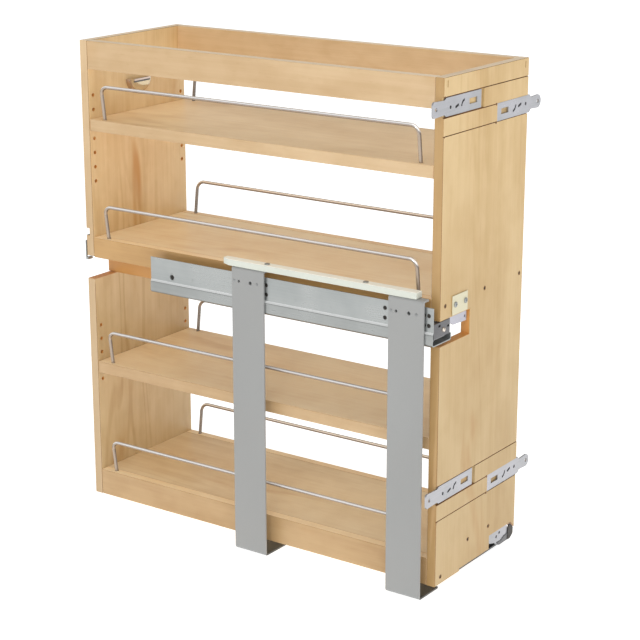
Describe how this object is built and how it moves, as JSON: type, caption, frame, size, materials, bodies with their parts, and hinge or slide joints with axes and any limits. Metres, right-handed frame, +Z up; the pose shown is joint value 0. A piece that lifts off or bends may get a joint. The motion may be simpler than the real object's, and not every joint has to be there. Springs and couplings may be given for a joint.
{
  "type": "pull-out pantry organiser",
  "caption": "Tall narrow cabinet pull-out with wooden shelves and chrome wire rails, rolling on two runners carried by bent steel legs, with adjustable door brackets.",
  "frame": {"origin": "on the cabinet floor, under the middle of the whole object's outline", "axes": "+Z up, -Y towards the cabinet door (the carriage pulls out along -Y), -X the open near side with the legs, +X the far side"},
  "size_m": [0.264, 0.578, 0.662],
  "materials": {
    "maple": "clear satin lacquer on pale maple plywood and boards",
    "grey_steel": "satin grey powder coat",
    "zinc_steel": "zinc plated pressed sheet",
    "chrome_wire": "bright chrome plate",
    "ivory_plastic": "satin moulded plastic"
  },
  "bodies": {
    "base": {"front_leg": "grey_steel", "rear_leg": "grey_steel", "spacer_strip": "ivory_plastic", "strip_screw_1": "zinc_steel", "strip_screw_2": "zinc_steel", "near_cabinet_member": "zinc_steel", "far_cabinet_member": "zinc_steel"},
    "near_middle": {"near_middle_member": "zinc_steel"},
    "far_middle": {"far_middle_member": "zinc_steel"},
    "near_lower_rollers": {"near_lower_cage": "ivory_plastic"},
    "near_upper_rollers": {"near_upper_cage": "ivory_plastic"},
    "far_lower_rollers": {"far_lower_cage": "ivory_plastic"},
    "far_upper_rollers": {"far_upper_cage": "ivory_plastic"},
    "carriage": {"front_panel": "maple", "rear_panel": "maple", "top_rail_near": "maple", "top_rail_far": "maple", "mid_shelf": "maple", "mid_lip_near": "maple", "mid_lip_far": "maple", "mid_shelf_wire_near": "chrome_wire", "mid_shelf_wire_far": "chrome_wire", "bottom_shelf": "maple", "bottom_apron_near": "maple", "bottom_apron_far": "maple", "bottom_shelf_wire_near": "chrome_wire", "bottom_shelf_wire_far": "chrome_wire", "runner_board": "maple", "near_drawer_member": "zinc_steel", "near_locking_clip": "zinc_steel", "far_drawer_member": "zinc_steel", "far_locking_clip": "zinc_steel", "front_pad": "ivory_plastic", "front_pad_screw_1": "zinc_steel", "front_pad_screw_2": "zinc_steel", "rear_pad": "ivory_plastic", "rear_pad_screw_1": "zinc_steel", "rear_pad_screw_2": "zinc_steel", "half_moon_cup": "zinc_steel", "upper_shelf_pin_front_near": "zinc_steel", "upper_shelf_pin_rear_near": "zinc_steel", "upper_shelf_pin_front_far": "zinc_steel", "upper_shelf_pin_rear_far": "zinc_steel", "lower_shelf_pin_front_near": "zinc_steel", "lower_shelf_pin_rear_near": "zinc_steel", "lower_shelf_pin_front_far": "zinc_steel", "lower_shelf_pin_rear_far": "zinc_steel"},
    "upper_shelf_unit": {"upper_shelf": "maple", "upper_shelf_wire_near": "chrome_wire", "upper_shelf_wire_far": "chrome_wire"},
    "lower_shelf_unit": {"lower_shelf": "maple", "lower_shelf_wire_near": "chrome_wire", "lower_shelf_wire_far": "chrome_wire"},
    "upper_bracket_near": {"upper_door_bracket_near": "zinc_steel"},
    "upper_bracket_far": {"upper_door_bracket_far": "zinc_steel"},
    "lower_bracket_near": {"lower_door_bracket_near": "zinc_steel"},
    "lower_bracket_far": {"lower_door_bracket_far": "zinc_steel"}
  },
  "joints": [
    {"name": "carriage_slide", "type": "slide", "parent": "base", "child": "carriage", "axis": [0, -1, 0], "range_m": [0, 0.44]},
    {"name": "near_middle_slide", "type": "slide", "parent": "base", "child": "near_middle", "axis": [0, -1, 0], "range_m": [0, 0.22]},
    {"name": "far_middle_slide", "type": "slide", "parent": "base", "child": "far_middle", "axis": [0, -1, 0], "range_m": [0, 0.22]},
    {"name": "near_lower_roller_travel", "type": "slide", "parent": "base", "child": "near_lower_rollers", "axis": [0, -1, 0], "range_m": [0, 0.11]},
    {"name": "far_lower_roller_travel", "type": "slide", "parent": "base", "child": "far_lower_rollers", "axis": [0, -1, 0], "range_m": [0, 0.11]},
    {"name": "near_upper_roller_travel", "type": "slide", "parent": "base", "child": "near_upper_rollers", "axis": [0, -1, 0], "range_m": [0, 0.33]},
    {"name": "far_upper_roller_travel", "type": "slide", "parent": "base", "child": "far_upper_rollers", "axis": [0, -1, 0], "range_m": [0, 0.33]},
    {"name": "upper_shelf_lift", "type": "slide", "parent": "carriage", "child": "upper_shelf_unit", "axis": [0, 0, 1], "range_m": [0, 0.018]},
    {"name": "lower_shelf_lift", "type": "slide", "parent": "carriage", "child": "lower_shelf_unit", "axis": [0, 0, 1], "range_m": [0, 0.018]},
    {"name": "upper_near_bracket_slide", "type": "slide", "parent": "carriage", "child": "upper_bracket_near", "axis": [-1, 0, 0], "range_m": [-0.005, 0.01]},
    {"name": "upper_far_bracket_slide", "type": "slide", "parent": "carriage", "child": "upper_bracket_far", "axis": [1, 0, 0], "range_m": [0, 0.01]},
    {"name": "lower_near_bracket_slide", "type": "slide", "parent": "carriage", "child": "lower_bracket_near", "axis": [-1, 0, 0], "range_m": [-0.005, 0.01]},
    {"name": "lower_far_bracket_slide", "type": "slide", "parent": "carriage", "child": "lower_bracket_far", "axis": [1, 0, 0], "range_m": [0, 0.01]}
  ],
  "couplings": [
    {"joint": "near_middle_slide", "follows": "carriage_slide", "ratio": 0.5},
    {"joint": "far_middle_slide", "follows": "carriage_slide", "ratio": 0.5},
    {"joint": "near_lower_roller_travel", "follows": "carriage_slide", "ratio": 0.25},
    {"joint": "far_lower_roller_travel", "follows": "carriage_slide", "ratio": 0.25},
    {"joint": "near_upper_roller_travel", "follows": "carriage_slide", "ratio": 0.75},
    {"joint": "far_upper_roller_travel", "follows": "carriage_slide", "ratio": 0.75}
  ]
}
